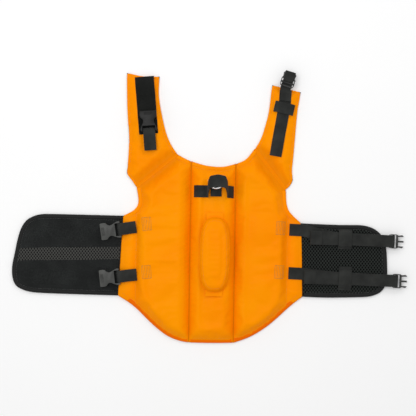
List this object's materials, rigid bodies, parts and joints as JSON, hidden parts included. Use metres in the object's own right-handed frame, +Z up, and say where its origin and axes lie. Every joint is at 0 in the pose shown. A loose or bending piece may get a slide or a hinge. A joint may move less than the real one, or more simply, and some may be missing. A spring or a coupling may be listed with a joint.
{
  "type": "dog flotation vest",
  "caption": "Padded dog flotation vest laid flat: hinged foam panels, belly panels, webbing straps with side-release buckles, grab handle and leash ring.",
  "frame": {"origin": "centre of the vest's footprint, on the floor that it lies on", "axes": "+X to the wearer's right side of the laid-out vest, where the plugs are; +Y towards the neck; +Z up out of the outer side"},
  "size_m": [0.7883, 0.5449, 0.0402],
  "materials": {
    "orange_shell": "bright orange coated woven nylon, satin, padded and softly creased",
    "orange_binding": "darker orange woven tape and sewn tabs",
    "black_lining": "black knitted spacer mesh lining",
    "black_cloth": "black brushed loop fabric with bound edges",
    "black_mesh": "black diamond-hole spacer mesh",
    "webbing": "black woven polyester webbing with ribbed edges",
    "buoyant_foam": "closed-cell flotation foam, off-white, matt",
    "buckle_plastic": "dark grey moulded plastic with a fine satin grain",
    "ring_steel": "bright plated steel wire"
  },
  "bodies": {
    "back": {"spine_shell": "orange_shell", "spine_foam": "buoyant_foam", "spine_lining": "black_lining", "leash_strap": "webbing", "ring_tab": "webbing", "handle_front_anchor": "orange_binding", "handle_rear_anchor": "orange_binding"},
    "handle": {"handle_cover": "orange_shell", "handle_foam": "buoyant_foam", "handle_strap": "orange_binding"},
    "leash_ring": {"leash_ring": "ring_steel"},
    "left_flank": {"left_flank_shell": "orange_shell", "left_flank_foam": "buoyant_foam", "left_flank_lining": "black_lining", "upper_socket_stub": "webbing", "lower_socket_stub": "webbing"},
    "right_flank": {"right_flank_shell": "orange_shell", "right_flank_foam": "buoyant_foam", "right_flank_lining": "black_lining", "upper_strap_root": "webbing", "lower_strap_root": "webbing"},
    "left_wing": {"left_wing_shell": "orange_shell", "left_wing_foam": "buoyant_foam", "left_wing_lining": "black_lining", "loop_tape": "black_cloth", "neck_socket_stub": "webbing"},
    "right_wing": {"right_wing_shell": "orange_shell", "right_wing_foam": "buoyant_foam", "right_wing_lining": "black_lining", "neck_strap": "webbing", "neck_keeper": "webbing"},
    "left_belly": {"left_belly_binding": "black_cloth", "left_belly_backing": "black_cloth", "left_belly_foam": "buoyant_foam", "left_belly_face": "black_cloth"},
    "right_belly": {"right_belly_binding": "black_cloth", "right_belly_backing": "black_cloth", "right_belly_foam": "buoyant_foam", "right_belly_face": "black_mesh", "upper_keeper": "webbing", "lower_keeper": "webbing", "upper_strap": "webbing", "lower_strap": "webbing"},
    "upper_socket": {"upper_socket": "buckle_plastic"},
    "lower_socket": {"lower_socket": "buckle_plastic"},
    "neck_socket": {"neck_socket": "buckle_plastic"},
    "upper_adjuster": {"upper_plug": "buckle_plastic", "upper_strap_tail": "webbing"},
    "upper_plug_left_arm": {"upper_plug_left_arm": "buckle_plastic"},
    "upper_plug_right_arm": {"upper_plug_right_arm": "buckle_plastic"},
    "lower_adjuster": {"lower_plug": "buckle_plastic", "lower_strap_tail": "webbing"},
    "lower_plug_left_arm": {"lower_plug_left_arm": "buckle_plastic"},
    "lower_plug_right_arm": {"lower_plug_right_arm": "buckle_plastic"},
    "neck_adjuster": {"neck_plug": "buckle_plastic", "neck_strap_tail": "webbing"},
    "neck_plug_left_arm": {"neck_plug_left_arm": "buckle_plastic"},
    "neck_plug_right_arm": {"neck_plug_right_arm": "buckle_plastic"}
  },
  "joints": [
    {"name": "left_flank_fold", "type": "hinge", "parent": "back", "child": "left_flank", "pos_m": [-0.0396, -0.0918, 0], "axis": [0, 1, 0], "range_deg": [-80, 25]},
    {"name": "right_flank_fold", "type": "hinge", "parent": "back", "child": "right_flank", "pos_m": [0.0495, -0.0918, 0], "axis": [0, 1, 0], "range_deg": [-25, 80]},
    {"name": "left_wing_fold", "type": "hinge", "parent": "left_flank", "child": "left_wing", "pos_m": [-0.1085, 0.0705, 0], "axis": [0.7724, 0.6351, 0], "range_deg": [-70, 20]},
    {"name": "right_wing_fold", "type": "hinge", "parent": "right_flank", "child": "right_wing", "pos_m": [0.1185, 0.0767, 0], "axis": [-0.6187, 0.7856, 0], "range_deg": [-20, 70]},
    {"name": "left_belly_fold", "type": "hinge", "parent": "left_flank", "child": "left_belly", "pos_m": [-0.17845, -0.10075, 0], "axis": [0.0508, 0.9987, 0], "range_deg": [-110, 0]},
    {"name": "right_belly_fold", "type": "hinge", "parent": "right_flank", "child": "right_belly", "pos_m": [0.18375, -0.104, 0], "axis": [-0.0348, 0.9994, 0], "range_deg": [0, 110]},
    {"name": "handle_lift", "type": "slide", "parent": "back", "child": "handle", "axis": [0, 0, 1], "range_m": [0, 0.02]},
    {"name": "leash_ring_swing", "type": "hinge", "parent": "back", "child": "leash_ring", "pos_m": [0.0105, 0.0522, 0.0232], "axis": [-1, 0, 0], "range_deg": [0, 14]},
    {"name": "upper_socket_swing", "type": "hinge", "parent": "left_flank", "child": "upper_socket", "pos_m": [-0.181, -0.0483, 0.0095], "axis": [-0.1564, 0.9877, 0], "range_deg": [0, 100]},
    {"name": "lower_socket_swing", "type": "hinge", "parent": "left_flank", "child": "lower_socket", "pos_m": [-0.1815, -0.1423, 0.0095], "axis": [-0.1219, 0.9925, 0], "range_deg": [0, 100]},
    {"name": "neck_socket_swing", "type": "hinge", "parent": "left_wing", "child": "neck_socket", "pos_m": [-0.1243, 0.1507, 0.0171], "axis": [0.9969, 0.0785, 0], "range_deg": [0, 100]},
    {"name": "upper_strap_adjust", "type": "slide", "parent": "right_belly", "child": "upper_adjuster", "axis": [0.9996, -0.0297, 0], "range_m": [0, 0.03]},
    {"name": "upper_plug_left_arm_squeeze", "type": "hinge", "parent": "upper_adjuster", "child": "upper_plug_left_arm", "pos_m": [0.3746, -0.05351, 0.009], "axis": [0, 0, -1], "range_deg": [0, 9], "stiffness_Nm_per_rad": 0.04},
    {"name": "upper_plug_right_arm_squeeze", "type": "hinge", "parent": "upper_adjuster", "child": "upper_plug_right_arm", "pos_m": [0.37399, -0.0743, 0.009], "axis": [0, 0, 1], "range_deg": [0, 9], "stiffness_Nm_per_rad": 0.04},
    {"name": "lower_strap_adjust", "type": "slide", "parent": "right_belly", "child": "lower_adjuster", "axis": [0.9996, -0.0297, 0], "range_m": [0, 0.035]},
    {"name": "lower_plug_left_arm_squeeze", "type": "hinge", "parent": "lower_adjuster", "child": "lower_plug_left_arm", "pos_m": [0.3826, -0.13241, 0.009], "axis": [0, 0, -1], "range_deg": [0, 9], "stiffness_Nm_per_rad": 0.04},
    {"name": "lower_plug_right_arm_squeeze", "type": "hinge", "parent": "lower_adjuster", "child": "lower_plug_right_arm", "pos_m": [0.38199, -0.1532, 0.009], "axis": [0, 0, 1], "range_deg": [0, 9], "stiffness_Nm_per_rad": 0.04},
    {"name": "neck_strap_adjust", "type": "slide", "parent": "right_wing", "child": "neck_adjuster", "axis": [0.2924, 0.9563, 0], "range_m": [0, 0.02]},
    {"name": "neck_plug_left_arm_squeeze", "type": "hinge", "parent": "neck_adjuster", "child": "neck_plug_left_arm", "pos_m": [0.14167, 0.26069, 0.0172], "axis": [0, 0, -1], "range_deg": [0, 9], "stiffness_Nm_per_rad": 0.04},
    {"name": "neck_plug_right_arm_squeeze", "type": "hinge", "parent": "neck_adjuster", "child": "neck_plug_right_arm", "pos_m": [0.16156, 0.25461, 0.0172], "axis": [0, 0, 1], "range_deg": [0, 9], "stiffness_Nm_per_rad": 0.04}
  ],
  "couplings": [
    {"joint": "upper_plug_right_arm_squeeze", "follows": "upper_plug_left_arm_squeeze", "ratio": 1},
    {"joint": "lower_plug_right_arm_squeeze", "follows": "lower_plug_left_arm_squeeze", "ratio": 1},
    {"joint": "neck_plug_right_arm_squeeze", "follows": "neck_plug_left_arm_squeeze", "ratio": 1}
  ]
}
